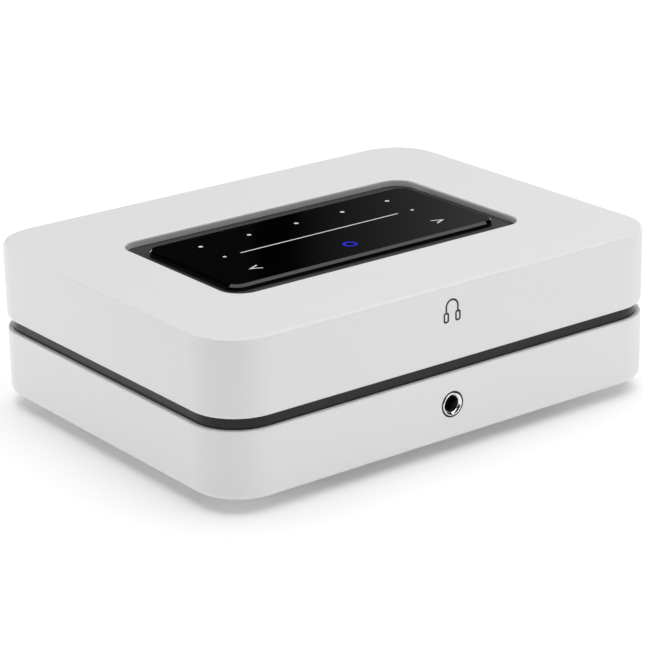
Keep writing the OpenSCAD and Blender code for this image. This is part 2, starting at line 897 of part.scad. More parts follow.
module insulating_sheet() {
  color([0.9, 0.88, 0.75]) difference() {
    box_at(power_x, power_y, z_floor, power_w + 2, power_d + 2, 0.4);
    grid_of_four(power_x, power_y, power_hole_x, power_hole_y)
      translate([0, 0, z_floor - eps]) cylinder(r = standoff_r + 0.3, h = 2);
    for (s = [-1, 1]) box_at(-peg_x, s * peg_y, z_floor - eps, 8, 8, 2);
  }
}

module transformer() {
  x = power_x + 2;
  y = power_y - 8;
  color([0.85, 0.75, 0.2]) box_at(x, y, board_top + 3, 22, 26, 18);
  color("dimgray") box_at(x, y, board_top, 30, 16, 24);
}

module bulk_capacitors() {
  color("midnightblue") for (s = [-1, 1])
    translate([power_x + s * 11, power_y - 36, board_top]) {
      cylinder(r = 9, h = 24);
      translate([0, 0, 23.5]) cylinder(r = 8, h = 1);
    }
}

module mains_choke() {
  color("peru") translate([power_x + 4, power_y + 18, board_top + 10]) rotate([90, 0, 0])
    rotate_extrude() translate([7, 0]) circle(3);
  color("dimgray") box_at(power_x + 4, power_y + 18, board_top, 16, 8, 2);
}

module fuse() {
  x = power_x - 17;
  y = power_y + 6;
  z = board_top + 5;
  color("silver") for (s = [-1, 1]) {
    translate([x, y + s * 8.5 - 2.5, z]) rotate([-90, 0, 0]) cylinder(r = 2.7, h = 5);
    box_at(x, y + s * 8.5, board_top, 3, 3, 3);
  }
  color("gainsboro") bar_y(x, y - 8, z, 2.3, 16);
}

module touch_ribbon() {
  z0 = board_top + 1.2;
  z1 = z_board_hi - board_t - 2;
  color("white") translate([ribbon_x - ribbon_w / 2, ribbon_y, 0]) rotate([90, 0, 90])
    linear_extrude(ribbon_w) {
      translate([0, z0 + ribbon_bend]) square([ribbon_t, z1 - z0 - ribbon_bend]);
      translate([-ribbon_bend + ribbon_t, z0 + ribbon_bend]) difference() {
        circle(ribbon_bend);
        circle(ribbon_bend - ribbon_t);
        translate([-ribbon_bend - 1, 0]) square([2 * ribbon_bend + 2, ribbon_bend + 1]);
        translate([-ribbon_bend - 1, -ribbon_bend - 1]) square([ribbon_bend + 1, ribbon_bend + 2]);
      }
      translate([-ribbon_bend - 2, z0]) square([2 + ribbon_t, ribbon_t]);
    }
}

module antennas() {
  color([0.1, 0.35, 0.2]) for (s = [0, 1]) mirror([s, 0, 0])
    translate([x_in - 1, -20, z_ceil - 22]) cube([1, 40, 14]);
}

// A wire that leaves the stud's tail and bends down to the amplifier board
module speaker_wire(i) {
  bend = 4;
  wire_r = 1;
  y0 = y_panel - stud_tail;
  terminal_at(i) {
    translate([0, y0, -bend]) rotate([90, 0, -90]) rotate_extrude(angle = 90)
      translate([bend, 0]) circle(wire_r);
    translate([0, y0 - bend, amp_top - terminal_z]) cylinder(r = wire_r, h = terminal_z - bend - amp_top);
  }
}

module power_lead(y) {
  span = main_x - main_w / 2 - power_x - power_w / 2 + 12;
  translate([(main_x - main_w / 2 + power_x + power_w / 2) / 2, y, board_top])
    rotate([90, 0, 0]) rotate_extrude(angle = 180) translate([span / 2, 0]) circle(1.2);
}

module internal_wires() {
  color("firebrick") for (i = TERMINALS) speaker_wire(i);
  color("firebrick") for (k = [0, 1]) power_lead(power_y + 8 * k);
}

module standoff(h) {
  translate([0, 0, z_floor]) difference() {
    cylinder(r = standoff_r, h = h);
    translate([0, 0, h - 6]) cylinder(r = 1.02, h = 7);
  }
}

module board_standoffs() {
  hi = board_top - board_t - z_floor;
  color("goldenrod") {
    grid_of_four(main_x, main_y, main_hole_x, main_hole_y) standoff(hi);
    grid_of_four(power_x, power_y, power_hole_x, power_hole_y) standoff(hi);
    jack_board_holes() standoff(jack_z - jack_h / 2 - board_t - z_floor);
    grid_of_four(amp_x, amp_y, amp_hole_x, amp_hole_y)
      translate([0, 0, board_top]) difference() {
        cylinder(r = standoff_r, h = amp_top - board_t - board_top);
        translate([0, 0, amp_top - board_t - board_top - 6]) cylinder(r = 1.02, h = 7);
      }
  }
}

module casing_screws() {
  color("dimgray") at_posts() {
    translate([0, 0, base_h + head_hole_d - screw_head_h]) difference() {
      cylinder(r = screw_head_r, h = screw_head_h);
      translate([0, 0, -eps]) cylinder(r = 1.3, h = 1.2 + eps, $fn = 6);
    }
    translate([0, 0, base_h + head_hole_d - 0.2]) cylinder(r = screw_r,
      h = z_join + screw_bite - base_h - head_hole_d);
  }
}

// A pan-head screw whose head rests at z, driven downwards
module pan_screw(z, l) {
  translate([0, 0, z]) {
    cylinder(r = 2, h = 1.4);
    translate([0, 0, -l]) cylinder(r = small_screw_r, h = l + 0.2);
  }
}

module small_screws() {
  color("silver") {
    grid_of_four(main_x, main_y, main_hole_x, main_hole_y)
      pan_screw(board_top, 6);
    grid_of_four(power_x, power_y, power_hole_x, power_hole_y)
      pan_screw(board_top, 6);
    grid_of_four(amp_x, amp_y, amp_hole_x, amp_hole_y)
      pan_screw(amp_top, 6);
    jack_board_holes() pan_screw(jack_z - jack_h / 2, jack_screw_l);
    tray_screw_places() translate([0, 0, 2 * (z_ceil - tray_t)]) mirror([0, 0, 1])
      pan_screw(z_ceil - tray_t, tray_t + 1.8);
    grid_of_four(0, 0, tray_post_x, tray_post_y)
      translate([0, 0, 2 * (z_board_hi - board_t)]) mirror([0, 0, 1])
        pan_screw(z_board_hi - board_t, board_t + 2.4);
  }
}

upper_casing();
lower_casing();
seam_band();
base_plinth();
base_pad();
panel_tray();
glass_adhesive();
touch_glass();
preset_marks();
volume_marks();
skip_marks();
status_ring();
light_guide();
touch_board();
front_symbol();
jack_bezel();
jack_gasket();
headphone_jack();
headphone_board();
rear_panel();
terminal_studs();
terminal_nuts();
red_collars();
black_collars();
left_plus_knob();
left_minus_knob();
right_plus_knob();
right_minus_knob();
left_plus_washer();
left_minus_washer();
right_plus_washer();
right_minus_washer();
mains_inlet();
mains_pins();
network_shell();
video_shell();
usb_shell();
socket_inserts();
subwoofer_barrel();
subwoofer_insulator();
line_jack();
main_board();
processor_shield();
wireless_module();
amplifier_board();
heatsink();
output_inductors();
output_capacitors();
power_board();
insulating_sheet();
transformer();
bulk_capacitors();
mains_choke();
fuse();
touch_ribbon();
antennas();
internal_wires();
board_standoffs();
casing_screws();
small_screws();
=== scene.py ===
import bpy, bmesh, json, math
from mathutils import Vector, Matrix


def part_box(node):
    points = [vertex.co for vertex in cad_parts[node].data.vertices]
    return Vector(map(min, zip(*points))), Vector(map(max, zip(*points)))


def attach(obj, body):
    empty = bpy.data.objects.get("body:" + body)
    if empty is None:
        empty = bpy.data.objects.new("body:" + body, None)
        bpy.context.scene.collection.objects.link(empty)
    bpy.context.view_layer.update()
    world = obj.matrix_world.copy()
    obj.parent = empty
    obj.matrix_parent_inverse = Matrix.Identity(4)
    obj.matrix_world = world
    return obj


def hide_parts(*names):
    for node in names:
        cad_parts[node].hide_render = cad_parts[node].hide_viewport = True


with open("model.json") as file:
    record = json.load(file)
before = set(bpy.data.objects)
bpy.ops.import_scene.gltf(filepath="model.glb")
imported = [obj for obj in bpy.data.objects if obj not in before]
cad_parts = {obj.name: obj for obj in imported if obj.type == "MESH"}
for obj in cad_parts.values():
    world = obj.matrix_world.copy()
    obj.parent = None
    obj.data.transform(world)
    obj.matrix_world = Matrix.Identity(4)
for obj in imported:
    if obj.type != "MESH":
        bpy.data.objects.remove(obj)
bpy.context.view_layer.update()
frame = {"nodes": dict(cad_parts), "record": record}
nodes = frame["nodes"]
mm = 0.001


class Wire:
    # one output of a shader node, usable in plain sums
    def __init__(self, finish, socket):
        self.finish = finish
        self.socket = socket

    def maths(self, operation, a, b=0.0):
        return self.finish.node("ShaderNodeMath", {"operation": operation}, {0: a, 1: b})

    def __radd__(self, other):
        return self.maths("ADD", other, self)

    def __sub__(self, other):
        return self.maths("SUBTRACT", self, other)

    def __mul__(self, other):
        return self.maths("MULTIPLY", self, other)

    def __rmul__(self, other):
        return self.maths("MULTIPLY", other, self)


class Finish:
    # a Principled material that is built up node by node
    def __init__(self, name, colour, roughness=0.5, **uniform):
        self.material = bpy.data.materials.new(name)
        self.material.use_nodes = True
        self.tree = self.material.node_tree
        self.shader = self.tree.nodes["Principled BSDF"]
        self.set("Base Color", (*colour, 1.0))
        self.set("Roughness", roughness)
        for socket, value in uniform.items():
            self.set(socket.replace("_", " "), value)
        self.place = self.node("ShaderNodeTexCoord", out="Object")

    def node(self, kind, settings=None, inputs=None, out=0):
        made = self.tree.nodes.new(kind)
        for key, value in (settings or {}).items():
            if key == "stops":
                ramp = made.color_ramp
                while len(ramp.elements) < len(value):
                    ramp.elements.new(0.5)
                for stop, (at, shade) in zip(ramp.elements, value):
                    stop.position = at
                    stop.color = (*shade, 1.0)
            else:
                setattr(made, key, value)
        for key, value in (inputs or {}).items():
            if isinstance(value, Wire):
                self.tree.links.new(value.socket, made.inputs[key])
            else:
                made.inputs[key].default_value = value
        return Wire(self, made.outputs[out])

    def set(self, socket, value):
        if isinstance(value, Wire):
            self.tree.links.new(value.socket, self.shader.inputs[socket])
        else:
            self.shader.inputs[socket].default_value = value

    def stretched(self, scale):
        return self.node("ShaderNodeMapping", {}, {"Vector": self.place, "Scale": scale})

    def noise(self, scale, detail=2.0, vector=None):
        return self.node("ShaderNodeTexNoise", {},
                         {"Vector": vector or self.place, "Scale": scale, "Detail": detail})

    def ramp(self, value, *stops):
        return self.node("ShaderNodeValToRGB", {"stops": stops}, {"Fac": value})

    def mix(self, factor, a, b):
        a = a if isinstance(a, Wire) else (*a, 1.0)
        b = b if isinstance(b, Wire) else (*b, 1.0)
        return self.node("ShaderNodeMix", {"data_type": "RGBA"}, {0: factor, 6: a, 7: b}, out=2)

    def bump(self, height, strength, depth):
        self.set("Normal", self.node("ShaderNodeBump", {},
                                     {"Height": height, "Strength": strength, "Distance": depth}))


def grey(v):
    return (v, v, v)


def whiteMoulding():
    # satin moulded shell: fine spark-erosion grain and a faint drift of tone
    look = {"pale": grey(0.79), "deep": grey(0.77), "grain": 2600.0, "roughness": 0.42,
            "swing": 0.05, "relief": 0.12, "depth": 0.00004}
    f = Finish("whiteMoulding", look["pale"], look["roughness"], Specular_IOR_Level=0.42)
    drift = f.noise(14.0, 3.0)
    f.set("Base Color", f.mix(drift, look["pale"], look["deep"]))
    grain = f.noise(look["grain"], 3.0)
    f.set("Roughness", look["roughness"] - look["swing"] + 2 * look["swing"] * drift)
    f.bump(grain, look["relief"], look["depth"])
    return f.material


def seamGloss():
    f = Finish("seamGloss", grey(0.006), 0.16, Specular_IOR_Level=0.3)
    smear = f.noise(60.0, 4.0, f.stretched((1.0, 1.0, 4.0)))
    f.set("Roughness", 0.12 + 0.1 * smear)
    f.bump(f.noise(900.0, 2.0), 0.04, 0.00003)
    return f.material


def panelGlass():
    # clear glass over black ink, with the faintest film of fingermarks
    f = Finish("panelGlass", grey(0.0008), 0.05, IOR=1.5)
    marks = f.ramp(f.noise(38.0, 5.0), (0.45, grey(0.0)), (0.75, grey(1.0)))
    f.set("Roughness", 0.04 + 0.07 * marks)
    return f.material


def trayBlack():
    f = Finish("trayBlack", grey(0.01), 0.5)
    f.set("Base Color", f.mix(f.noise(500.0, 2.0), grey(0.008), grey(0.018)))
    f.bump(f.noise(2200.0, 2.0), 0.3, 0.00005)
    return f.material


def blackMoulding():
    f = Finish("blackMoulding", grey(0.02), 0.5, Specular_IOR_Level=0.4)
    f.set("Base Color", f.mix(f.noise(30.0, 4.0), grey(0.016), grey(0.026)))
    f.set("Roughness", 0.42 + 0.16 * f.noise(120.0, 3.0))
    f.bump(f.noise(1800.0, 3.0), 0.35, 0.00006)
    return f.material


def redMoulding():
    f = Finish("redMoulding", (0.42, 0.01, 0.012), 0.24, Coat_Weight=0.4, Coat_Roughness=0.12,
               Subsurface_Weight=0.05, Subsurface_Scale=0.001)
    f.set("Base Color", f.mix(f.noise(90.0, 3.0), (0.44, 0.012, 0.014), (0.36, 0.008, 0.01)))
    f.bump(f.noise(1500.0, 2.0), 0.08, 0.00003)
    return f.material


def rubber():
    f = Finish("rubber", grey(0.022), 0.78, Specular_IOR_Level=0.3)
    f.set("Base Color", f.mix(f.noise(45.0, 4.0), grey(0.018), grey(0.032)))
    f.bump(f.noise(1100.0, 4.0), 0.6, 0.00012)
    return f.material


def litMark():
    f = Finish("litMark", grey(0.62), 0.35, Emission_Strength=0.12)
    f.set("Emission Color", f.mix(f.noise(900.0, 1.0), grey(0.85), grey(1.0)))
    return f.material


def blueLight():
    f = Finish("blueLight", (0.004, 0.004, 0.3), 0.3, Emission_Strength=0.4)
    f.set("Emission Color", f.mix(f.noise(700.0, 1.0), (0.012, 0.014, 0.9), (0.02, 0.03, 1.0)))
    return f.material


def symbolInk():
    f = Finish("symbolInk", grey(0.006), 0.45)
    f.set("Base Color", f.mix(f.noise(1200.0, 2.0), grey(0.004), grey(0.01)))
    return f.material


def polishedChrome():
    f = Finish("polishedChrome", grey(0.82), 0.16, Metallic=1.0)
    polish = f.noise(900.0, 2.0)
    f.set("Roughness", 0.13 + 0.08 * polish)
    f.set("Base Color", f.mix(polish, grey(0.8), grey(0.86)))
    return f.material


def nickelSteel():
    f = Finish("nickelSteel", grey(0.5), 0.3, Metallic=1.0)
    brushed = f.noise(1400.0, 3.0, f.stretched((1.0, 0.06, 1.0)))
    f.set("Base Color", f.mix(brushed, (0.46, 0.45, 0.43), (0.62, 0.61, 0.59)))
    f.set("Roughness", 0.22 + 0.2 * brushed)
    f.bump(brushed, 0.06, 0.00003)
    return f.material


def goldPlate():
    # thread rings along the stud's own axis
    f = Finish("goldPlate", (0.83, 0.58, 0.22), 0.2, Metallic=1.0)
    rings = f.node("ShaderNodeTexWave", {"bands_direction": "Y"},
                   {"Vector": f.place, "Scale": 314.0, "Distortion": 0.0})
    f.set("Roughness", 0.16 + 0.14 * f.noise(300.0, 3.0))
    f.bump(rings, 0.35, 0.0002)
    return f.material


def turnedBrass():
    f = Finish("turnedBrass", (0.7, 0.5, 0.2), 0.3, Metallic=1.0)
    lines = f.noise(2400.0, 2.0, f.stretched((0.05, 0.05, 1.0)))
    f.set("Roughness", 0.22 + 0.2 * lines)
    f.set("Base Color", f.mix(f.noise(200.0, 3.0), (0.72, 0.52, 0.22), (0.6, 0.42, 0.16)))
    return f.material


def circuit(name, mask, copper):
    # solder mask over a maze of tracks, with bright round pads
    f = Finish(name, mask, 0.34, Specular_IOR_Level=0.5)
    tracks = f.node("ShaderNodeTexBrick", {"offset": 0.37, "squash": 1.6, "squash_frequency": 3},
                    {"Vector": f.place, "Scale": 160.0, "Mortar Size": 0.035, "Mortar Smooth": 0.2},
                    out="Fac")
    dots = f.node("ShaderNodeTexVoronoi", {}, {"Vector": f.place, "Scale": 210.0}, out="Distance")
    pads = f.ramp(dots, (0.0, grey(1.0)), (0.17, grey(1.0)), (0.2, grey(0.0)))
    body = f.mix(tracks, mask, copper)
    f.set("Base Color", f.mix(pads, body, (0.55, 0.52, 0.45)))
    f.set("Metallic", 0.8 * pads)
    f.bump(tracks, 0.3, 0.00005)
    return f.material


def shieldCan():
    f = Finish("shieldCan", grey(0.55), 0.32, Metallic=1.0)
    dimple = f.node("ShaderNodeTexVoronoi", {}, {"Vector": f.place, "Scale": 260.0}, out="Distance")
    f.bump(f.ramp(dimple, (0.1, grey(0.0)), (0.2, grey(1.0))), 0.4, 0.0001)
    f.set("Roughness", 0.26 + 0.18 * f.noise(400.0, 3.0))
    return f.material


def anodised():
    f = Finish("anodised", grey(0.12), 0.45, Metallic=0.9)
    drawn = f.noise(1600.0, 3.0, f.stretched((1.0, 0.04, 0.04)))
    f.set("Base Color", f.mix(drawn, grey(0.1), grey(0.17)))
    f.bump(drawn, 0.15, 0.00005)
    return f.material


def ferrite():
    f = Finish("ferrite", grey(0.035), 0.62)
    grain = f.noise(700.0, 5.0)
    f.set("Base Color", f.mix(grain, grey(0.02), grey(0.06)))
    f.bump(grain, 0.5, 0.0001)
    return f.material


def capacitorSleeve():
    # dark blue shrunk sleeve
    f = Finish("capacitorSleeve", (0.01, 0.015, 0.05), 0.28)
    f.set("Base Color", f.mix(f.noise(150.0, 3.0), (0.01, 0.015, 0.05), (0.02, 0.03, 0.08)))
    f.set("Roughness", 0.22 + 0.15 * f.noise(300.0, 2.0))
    return f.material


def woundTape():
    f = Finish("woundTape", (0.62, 0.42, 0.05), 0.35)
    wraps = f.node("ShaderNodeTexWave", {"bands_direction": "Z"},
                   {"Vector": f.place, "Scale": 90.0, "Distortion": 1.5})
    f.set("Base Color", f.mix(wraps, (0.66, 0.46, 0.06), (0.52, 0.34, 0.04)))
    f.bump(wraps, 0.2, 0.0002)
    return f.material


def ribbonFilm():
    # tinned conductors under white film
    f = Finish("ribbonFilm", grey(0.75), 0.35)
    lines = f.node("ShaderNodeTexWave", {"bands_direction": "X"},
                   {"Vector": f.place, "Scale": 157.0, "Distortion": 0.0})
    f.set("Base Color", f.mix(lines, grey(0.8), grey(0.45)))
    f.bump(lines, 0.3, 0.0001)
    return f.material


def wireRed():
    f = Finish("wireRed", (0.4, 0.02, 0.02), 0.42)
    f.set("Base Color", f.mix(f.noise(200.0, 3.0), (0.42, 0.02, 0.02), (0.32, 0.012, 0.012)))
    f.bump(f.noise(900.0, 2.0), 0.15, 0.00005)
    return f.material


def paleInsulator():
    f = Finish("paleInsulator", (0.68, 0.66, 0.58), 0.4)
    f.set("Base Color", f.mix(f.noise(120.0, 4.0), (0.7, 0.68, 0.6), (0.6, 0.58, 0.5)))
    f.bump(f.noise(1300.0, 2.0), 0.15, 0.00005)
    return f.material


def barrierFilm():
    f = Finish("barrierFilm", (0.74, 0.7, 0.58), 0.3)
    f.set("Base Color", f.mix(f.noise(60.0, 4.0), (0.76, 0.72, 0.6), (0.68, 0.63, 0.5)))
    f.bump(f.noise(260.0, 3.0), 0.2, 0.0002)
    return f.material


def lightPipe():
    f = Finish("lightPipe", (0.85, 0.88, 0.9), 0.2, Transmission_Weight=0.8, IOR=1.49)
    f.bump(f.noise(900.0, 2.0), 0.1, 0.00005)
    return f.material


board = circuit("circuitGreen", (0.008, 0.06, 0.022), (0.02, 0.12, 0.04))
tanBoard = circuit("circuitTan", (0.22, 0.13, 0.04), (0.3, 0.19, 0.07))
finishes = {
    "white_casing": whiteMoulding(), "black_plastic": blackMoulding(), "red_plastic": redMoulding(),
    "rubber_pad": rubber(), "panel_glass": panelGlass(), "printed_mark": litMark(),
    "status_light": blueLight(), "symbol_ink": symbolInk(), "polished_chrome": polishedChrome(),
    "gold_plate": goldPlate(), "nickel_steel": nickelSteel(), "pale_insulator": paleInsulator(),
    "circuit_green": board, "circuit_tan": tanBoard, "module_can": shieldCan(),
    "anodised": anodised(), "ferrite": ferrite(), "capacitor_sleeve": capacitorSleeve(),
    "barrier_film": barrierFilm(), "transformer_tape": woundTape(), "ribbon_white": ribbonFilm(),
    "wire_red": wireRed(), "brass_spacer": turnedBrass(), "clear_plastic": lightPipe(),
}
seamMaterial = seamGloss()
trayMaterial = trayBlack()
finishes["adhesive"] = trayMaterial
finishes["dark_insert"] = finishes["black_plastic"]
finishes["fuse_metal"] = finishes["nickel_steel"]
special = {"seam_band": seamMaterial, "panel_tray": trayMaterial}
slotOf = {row["node"]: row["material_slot"] for row in frame["record"]["subparts"]}
for name, node in nodes.items():
    node.data.materials.clear()
    node.data.materials.append(special.get(name) or finishes[slotOf[name]])
print("finishes on", len(nodes), "nodes")


def keep(bm, name, material, body="root", stands=(), sharp=32.0):
    # closes a bmesh off as a finished piece that rides on a body
    bmesh.ops.remove_doubles(bm, verts=bm.verts, dist=1e-7)
    bmesh.ops.recalc_face_normals(bm, faces=bm.faces)
    mesh = bpy.data.meshes.new(name)
    bm.to_mesh(mesh)
    bm.free()
    mesh.shade_smooth()
    mesh.set_sharp_from_angle(angle=math.radians(sharp))
    mesh.materials.append(material)
    piece = bpy.data.objects.new(name, mesh)
    bpy.context.scene.collection.objects.link(piece)
    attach(piece, body)
    if stands:
        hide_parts(*stands)
    return piece


def join(bm, part, matrix):
    # adds a copy of part to bm at matrix
    mesh = bpy.data.meshes.new("joined")
    part.to_mesh(mesh)
    mesh.transform(matrix)
    bm.from_mesh(mesh)
    bpy.data.meshes.remove(mesh)


def facing(direction, place):
    # puts a part's own Z along direction, at place in millimetres
    turn = Vector(direction).to_track_quat("Z", "Y").to_matrix().to_4x4()
    return Matrix.Translation(Vector(place) * mm) @ turn


def turned(profile, steps):
    # a profile of radius and height in millimetres, spun round Z; one that starts off the axis is closed
    bm = bmesh.new()
    line = [bm.verts.new((r * mm, 0.0, h * mm)) for r, h in profile]
    ring = profile[0][0] > 0
    following = line[1:] + (line[:1] if ring else [])
    edges = [bm.edges.new(pair) for pair in zip(line, following)]
    bmesh.ops.spin(bm, geom=line + edges, cent=(0, 0, 0), axis=(0, 0, 1), angle=math.tau,
                   steps=steps, use_merge=True)
    bmesh.ops.remove_doubles(bm, verts=bm.verts, dist=1e-7)
    bmesh.ops.recalc_face_normals(bm, faces=bm.faces)
    return bm


def rounded(bm, edges, size, segments=3):
    bmesh.ops.bevel(bm, geom=edges, offset=size * mm, offset_type="OFFSET", segments=segments,
                    profile=0.5, affect="EDGES", clamp_overlap=True, material=-1)


def block(size, corner=0.0, edge=0.2, segments=3):
    # a box of size in millimetres about the origin, rounded in plan and then along all its edges
    bm = bmesh.new()
    bmesh.ops.create_cube(bm, size=1.0)
    bmesh.ops.scale(bm, vec=[s * mm for s in size], verts=bm.verts)
    if corner:
        upright = [e for e in bm.edges if abs(e.verts[0].co.z - e.verts[1].co.z) > 1e-6]
        rounded(bm, upright, corner, 10)
    crisp = [e for e in bm.edges if e.calc_face_angle(0.0) > math.radians(40)]
    rounded(bm, crisp, edge, segments)
    return bm


def carved(body, cutter):
    # body with cutter taken out of it
    things = []
    for part in (body, cutter):
        mesh = bpy.data.meshes.new("carving")
        part.to_mesh(mesh)
        part.free()
        thing = bpy.data.objects.new("carving", mesh)
        bpy.context.scene.collection.objects.link(thing)
        things.append(thing)
    cut = things[0].modifiers.new("cut", "BOOLEAN")
    cut.operation = "DIFFERENCE"
    cut.solver = "EXACT"
    cut.object = things[1]
    solid = things[0].evaluated_get(bpy.context.evaluated_depsgraph_get())
    bm = bmesh.new()
    bm.from_mesh(solid.to_mesh())
    for thing in things:
        mesh = thing.data
        bpy.data.objects.remove(thing)
        bpy.data.meshes.remove(mesh)
    return bm


def leaf(width, length, rise, thick):
    # a sprung strip along Y that bows up by rise
    bm = bmesh.new()
    bmesh.ops.create_grid(bm, x_segments=2, y_segments=14, size=0.5)
    bmesh.ops.scale(bm, vec=(width * mm, length * mm, 1.0), verts=bm.verts)
    for vert in bm.verts:
        vert.co.z = rise * mm * math.cos(math.pi * vert.co.y / (length * mm))
    bmesh.ops.solidify(bm, geom=bm.faces[:], thickness=thick * mm)
    return bm


def middleOf(node):
    low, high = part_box(node)
    return (Vector(low) + Vector(high)) / 2 / mm, (Vector(high) - Vector(low)) / mm


def makeKnob(terminal, colour):
    # a moulded grip with eighteen finger grooves, a plain shoulder and softened edges
    knob = {"bore": 3.06, "shoulder": 5.75, "shoulderLong": 3.0, "grip": 6.5, "steps": 108,
            "groove": 0.42, "slope": 0.22, "flutes": 18, "gripLow": 4.0, "topSoft": 0.75}
    node = terminal + "_knob"
    middle, size = middleOf(node)
    long = size.y
    top = long - knob["topSoft"]
    bore, shoulder, grip, step = knob["bore"], knob["shoulder"], knob["grip"], knob["shoulderLong"]
    profile = [(bore, 0.35), (bore + 0.35, 0.0), (shoulder - 0.25, 0.0), (shoulder, 0.25),
               (shoulder, step - 0.3), (shoulder + 0.15, step), (grip - 0.25, step + 0.05),
               (grip, step + 0.35), (grip, knob["gripLow"]), (grip, top - 0.6), (grip, top),
               (grip - 0.22, top + 0.45), (grip - 0.75, long), (bore + 1.1, long),
               (bore + 0.5, long - 0.35), (bore, long - 0.9)]
    bm = turned(profile, knob["steps"])
    pitch = math.tau / knob["flutes"]

    def inGroove(face):
        spot = face.calc_center_median()
        high = spot.z / mm
        turn = math.atan2(spot.y, spot.x) % pitch
        wide = math.hypot(spot.x, spot.y) > (grip - 0.1) * mm
        return wide and knob["gripLow"] < high < top - 0.3 and turn < pitch * 0.5

    grooves = [f for f in bm.faces if inGroove(f)]
    bmesh.ops.inset_region(bm, faces=grooves, thickness=knob["slope"] * mm, depth=-knob["groove"] * mm,
                           use_boundary=True, use_even_offset=True)
    whole = bmesh.new()
    join(whole, bm, facing((0, 1, 0), (middle.x, middle.y - long / 2, middle.z)))
    bm.free()
    keep(whole, terminal + "Grip", colour, node, (node,), 50.0)


def makeCollars():
    # insulating rings that fix the terminals in the panel
    collar = {"bore": 3.05, "neck": 4.55, "outer": 6.5, "steps": 96, "flange": 0.8, "panel": 2.0}
    bore, neck, outer = collar["bore"], collar["neck"], collar["outer"]
    sets = (("redCollars", "red_collars", "red_plastic", (0, 2)),
            ("blackCollars", "black_collars", "black_plastic", (1, 3)))
    terminals = ("left_plus_knob", "left_minus_knob", "right_plus_knob", "right_minus_knob")
    for name, node, slot, places in sets:
        low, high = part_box(node)
        front, back = high[1] / mm, low[1] / mm
        deep = front - back
        inner = collar["flange"]
        panel = inner + collar["panel"]
        profile = [(bore, 0.0), (outer, 0.0), (outer, inner), (neck, inner), (neck, panel),
                   (outer - 0.2, panel), (outer, panel + 0.25), (outer, deep - 0.7),
                   (outer - 0.2, deep - 0.2), (outer - 0.65, deep), (bore + 0.9, deep),
                   (bore + 0.8, deep - 0.25), (bore, deep - 0.3)]
        ring = turned(profile, collar["steps"])
        whole = bmesh.new()
        for i in places:
            middle = middleOf(terminals[i])[0]
            join(whole, ring, facing((0, 1, 0), (middle.x, back, middle.z)))
        ring.free()
        keep(whole, name, finishes[slot], "root", (node,))


def makeBezel():
    # the bright dished ring of the headphone socket, and the sprung contacts inside its bore
    bezel = {"bore": 3.35, "bush": 4.4, "flange": 1.8, "steps": 160}
    spring = {"count": 3, "wide": 1.6, "long": 8.0, "bow": -0.5, "thick": 0.25, "out": 3.0,
              "deep": 12.0, "start": 0.4}
    low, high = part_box("jack_bezel")
    deep = (high[1] - low[1]) / mm
    face = low[1] / mm
    centre, size = middleOf("jack_bezel")
    outer = size.x / 2
    profile = [(outer, bezel["flange"]), (outer, 0.36), (outer - 0.06, 0.18), (outer - 0.18, 0.05),
               (outer - 0.32, 0.0), (outer - 0.46, 0.05), (outer - 0.62, 0.18), (3.86, 0.36),
               (3.66, 0.52), (3.5, 0.68), (3.4, 0.84), (bezel["bore"], 1.04), (bezel["bore"], deep),
               (bezel["bush"], deep), (bezel["bush"], bezel["flange"])]
    ring = turned(profile, bezel["steps"])
    whole = bmesh.new()
    join(whole, ring, facing((0, 1, 0), (centre.x, face, centre.z)))
    ring.free()
    keep(whole, "bezelRing", finishes["polished_chrome"], "root", ("jack_bezel",), 60.0)
    springs = bmesh.new()
    for i in range(spring["count"]):
        strip = leaf(spring["wide"], spring["long"], spring["bow"], spring["thick"])
        turn = Matrix.Rotation(math.tau * i / spring["count"] + spring["start"], 4, "Y")
        lift = Matrix.Translation(Vector((0, 0, spring["out"])) * mm)
        place = Matrix.Translation(Vector((centre.x, face + spring["deep"], centre.z)) * mm)
        join(springs, strip, place @ turn @ lift)
        strip.free()
    keep(springs, "plugSprings", finishes["gold_plate"], "root")


def screwShape(size):
    # a pan head with a cross recess; the head's top is at the origin
    cross = {"long": 1.25, "wide": 0.26, "deep": 1.1, "edge": 0.05, "turn": 0.5}  # shares of the head
    r, h = size["head"], size["headHigh"]
    profile = [(0.0, 0.0), (r * 0.5, -h * 0.03), (r * 0.78, -h * 0.16), (r * 0.93, -h * 0.38),
               (r, -h * 0.68), (r, -h), (size["shank"], -h), (size["shank"], -size["long"] + 0.4),
               (size["shank"] * 0.5, -size["long"]), (0.0, -size["long"])]
    body = turned(profile, 48)
    for turn in (0.0, math.pi / 2):
        barSize = (r * cross["long"], r * cross["wide"], h * cross["deep"])
        bar = block(barSize, 0.0, r * cross["edge"], 2)
        spun = Matrix.Rotation(turn + cross["turn"], 3, "Z")
        bmesh.ops.rotate(bar, matrix=spun, cent=(0, 0, 0), verts=bar.verts)
        body = carved(body, bar)
    return body


